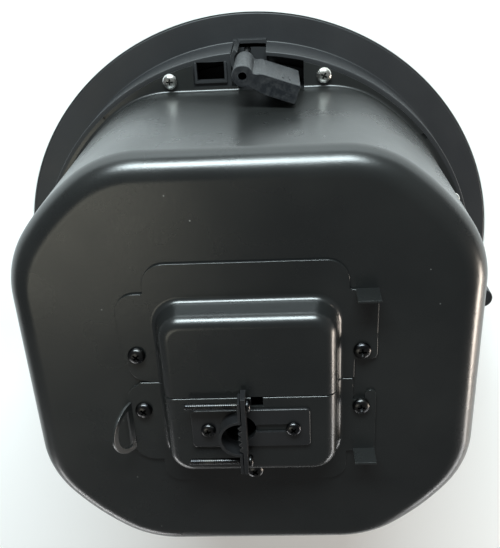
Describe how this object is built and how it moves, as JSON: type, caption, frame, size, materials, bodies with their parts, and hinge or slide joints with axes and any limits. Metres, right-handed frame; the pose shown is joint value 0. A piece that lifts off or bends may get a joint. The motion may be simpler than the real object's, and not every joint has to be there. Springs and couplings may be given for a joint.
{
  "type": "ceiling loudspeaker",
  "caption": "Round flush-mount ceiling loudspeaker with a deep steel back can, swing-out dog-leg mounting clamps, and a rear terminal cover with a cable clamp and a safety-wire eye.",
  "frame": {"origin": "centre of the grille's front face, which lies on z = 0", "axes": "+Z away from the room, up into the ceiling void; +Y from the axis towards clamp 1; +X towards clamp 2"},
  "size_m": [0.2828, 0.2828, 0.172],
  "materials": {
    "black_plastic": "moulded, fine spark-eroded grain",
    "white_steel": "white powder-coated perforated steel",
    "black_powder_coat": "satin black powder coat",
    "black_rubber": "matt foam rubber",
    "damping_foam": "open-cell acoustic foam",
    "zinc_screw": "bright zinc plate",
    "black_screw": "black oxide, semi-gloss",
    "clamp_plastic": "glass-filled nylon",
    "brass": "turned",
    "terminal_white": "ceramic",
    "steel_core": "stacked laminations",
    "circuit_board": "green solder mask",
    "ferrite": "sintered ferrite with a zinc-plated plate",
    "cone_fibre": "pressed paper fibre",
    "silk": "coated silk"
  },
  "bodies": {
    "root": {"baffle_ring": "black_plastic", "grille": "white_steel", "back_can": "black_powder_coat", "can_gasket": "black_rubber", "damping_lining": "damping_foam", "can_screw_1": "zinc_screw", "can_screw_2": "zinc_screw", "can_screw_3": "zinc_screw", "can_screw_4": "zinc_screw", "can_screw_5": "zinc_screw", "can_screw_6": "zinc_screw", "can_screw_7": "zinc_screw", "can_screw_8": "zinc_screw", "terminal_cover_upper": "black_powder_coat", "terminal_cover_lower": "black_powder_coat", "cover_screw_1": "black_screw", "cover_screw_2": "black_screw", "cover_screw_3": "black_screw", "cover_screw_4": "black_screw", "cover_screw_5": "black_screw", "cable_clamp_base": "black_powder_coat", "clamp_base_screw_1": "black_screw", "clamp_base_screw_2": "black_screw", "terminal_cup": "black_plastic", "terminal_block": "terminal_white", "line_transformer": "steel_core", "crossover_board": "circuit_board", "driver_basket": "black_plastic", "driver_screw_1": "black_screw", "driver_screw_2": "black_screw", "driver_screw_3": "black_screw", "driver_screw_4": "black_screw", "driver_gasket": "black_rubber", "driver_magnet": "ferrite", "woofer_surround": "black_rubber", "spider": "cone_fibre", "tweeter_housing": "black_plastic", "tweeter_dome": "silk", "port_tube": "black_plastic", "tap_selector_switch": "black_plastic"},
    "clamp_screw_1_body": {"clamp_screw_1": "black_screw"},
    "clamp_nut_1_body": {"clamp_nut_1": "brass"},
    "clamp_arm_1_body": {"clamp_arm_1": "clamp_plastic"},
    "clamp_screw_2_body": {"clamp_screw_2": "black_screw"},
    "clamp_nut_2_body": {"clamp_nut_2": "brass"},
    "clamp_arm_2_body": {"clamp_arm_2": "clamp_plastic"},
    "clamp_screw_3_body": {"clamp_screw_3": "black_screw"},
    "clamp_nut_3_body": {"clamp_nut_3": "brass"},
    "clamp_arm_3_body": {"clamp_arm_3": "clamp_plastic"},
    "clamp_screw_4_body": {"clamp_screw_4": "black_screw"},
    "clamp_nut_4_body": {"clamp_nut_4": "brass"},
    "clamp_arm_4_body": {"clamp_arm_4": "clamp_plastic"},
    "cable_strap": {"cable_clamp_strap": "black_powder_coat"},
    "cable_clamp_screw_1_body": {"cable_clamp_screw_1": "black_screw"},
    "cable_clamp_screw_2_body": {"cable_clamp_screw_2": "black_screw"},
    "cone": {"woofer_cone": "cone_fibre"},
    "tap_knob": {"tap_selector_knob": "clamp_plastic"}
  },
  "joints": [
    {"name": "clamp_1_travel", "type": "slide", "parent": "root", "child": "clamp_nut_1_body", "axis": [0, 0, -1], "range_m": [0, 0.034]},
    {"name": "clamp_1_swing", "type": "hinge", "parent": "clamp_nut_1_body", "child": "clamp_arm_1_body", "pos_m": [0, 0.1214, 0.062], "axis": [0, 0, 1], "range_deg": [0, 109.5]},
    {"name": "clamp_1_screw_turn", "type": "hinge", "parent": "root", "child": "clamp_screw_1_body", "pos_m": [0, 0.1214, 0.04], "axis": [0, 0, 1], "range_deg": [0, 6121]},
    {"name": "clamp_2_travel", "type": "slide", "parent": "root", "child": "clamp_nut_2_body", "axis": [0, 0, -1], "range_m": [0, 0.034]},
    {"name": "clamp_2_swing", "type": "hinge", "parent": "clamp_nut_2_body", "child": "clamp_arm_2_body", "pos_m": [0.1214, 0, 0.062], "axis": [0, 0, 1], "range_deg": [0, 109.5]},
    {"name": "clamp_2_screw_turn", "type": "hinge", "parent": "root", "child": "clamp_screw_2_body", "pos_m": [0.1214, 0, 0.04], "axis": [0, 0, 1], "range_deg": [0, 6121]},
    {"name": "clamp_3_travel", "type": "slide", "parent": "root", "child": "clamp_nut_3_body", "axis": [0, 0, -1], "range_m": [0, 0.034]},
    {"name": "clamp_3_swing", "type": "hinge", "parent": "clamp_nut_3_body", "child": "clamp_arm_3_body", "pos_m": [0, -0.1214, 0.062], "axis": [0, 0, 1], "range_deg": [0, 109.5]},
    {"name": "clamp_3_screw_turn", "type": "hinge", "parent": "root", "child": "clamp_screw_3_body", "pos_m": [0, -0.1214, 0.04], "axis": [0, 0, 1], "range_deg": [0, 6121]},
    {"name": "clamp_4_travel", "type": "slide", "parent": "root", "child": "clamp_nut_4_body", "axis": [0, 0, -1], "range_m": [0, 0.034]},
    {"name": "clamp_4_swing", "type": "hinge", "parent": "clamp_nut_4_body", "child": "clamp_arm_4_body", "pos_m": [-0.1214, 0, 0.062], "axis": [0, 0, 1], "range_deg": [0, 109.5]},
    {"name": "clamp_4_screw_turn", "type": "hinge", "parent": "root", "child": "clamp_screw_4_body", "pos_m": [-0.1214, 0, 0.04], "axis": [0, 0, 1], "range_deg": [0, 6121]},
    {"name": "cable_strap_slide", "type": "slide", "parent": "root", "child": "cable_strap", "axis": [1, 0, 0], "range_m": [0, 0.006]},
    {"name": "cable_clamp_screw_1_turn", "type": "hinge", "parent": "cable_strap", "child": "cable_clamp_screw_1_body", "pos_m": [0, -0.00115, 0.1678], "axis": [1, 0, 0], "range_deg": [0, 2701]},
    {"name": "cable_clamp_screw_2_turn", "type": "hinge", "parent": "cable_strap", "child": "cable_clamp_screw_2_body", "pos_m": [0, -0.03165, 0.1678], "axis": [1, 0, 0], "range_deg": [0, 2701]},
    {"name": "cone_stroke", "type": "slide", "parent": "root", "child": "cone", "axis": [0, 0, 1], "range_m": [-0.004, 0.004], "stiffness_N_per_m": 1500, "deforming": ["woofer_surround", "spider"]},
    {"name": "tap_selector_turn", "type": "hinge", "parent": "root", "child": "tap_knob", "pos_m": [0.06887, 0.06887, 0.01], "axis": [0, 0, 1], "range_deg": [0, 150]}
  ],
  "couplings": [
    {"joint": "clamp_1_screw_turn", "follows": "clamp_1_travel", "rad_per_m": 3141.6},
    {"joint": "clamp_2_screw_turn", "follows": "clamp_2_travel", "rad_per_m": 3141.6},
    {"joint": "clamp_3_screw_turn", "follows": "clamp_3_travel", "rad_per_m": 3141.6},
    {"joint": "clamp_4_screw_turn", "follows": "clamp_4_travel", "rad_per_m": 3141.6},
    {"joint": "cable_clamp_screw_1_turn", "follows": "cable_strap_slide", "rad_per_m": 7854},
    {"joint": "cable_clamp_screw_2_turn", "follows": "cable_strap_slide", "rad_per_m": 7854}
  ]
}
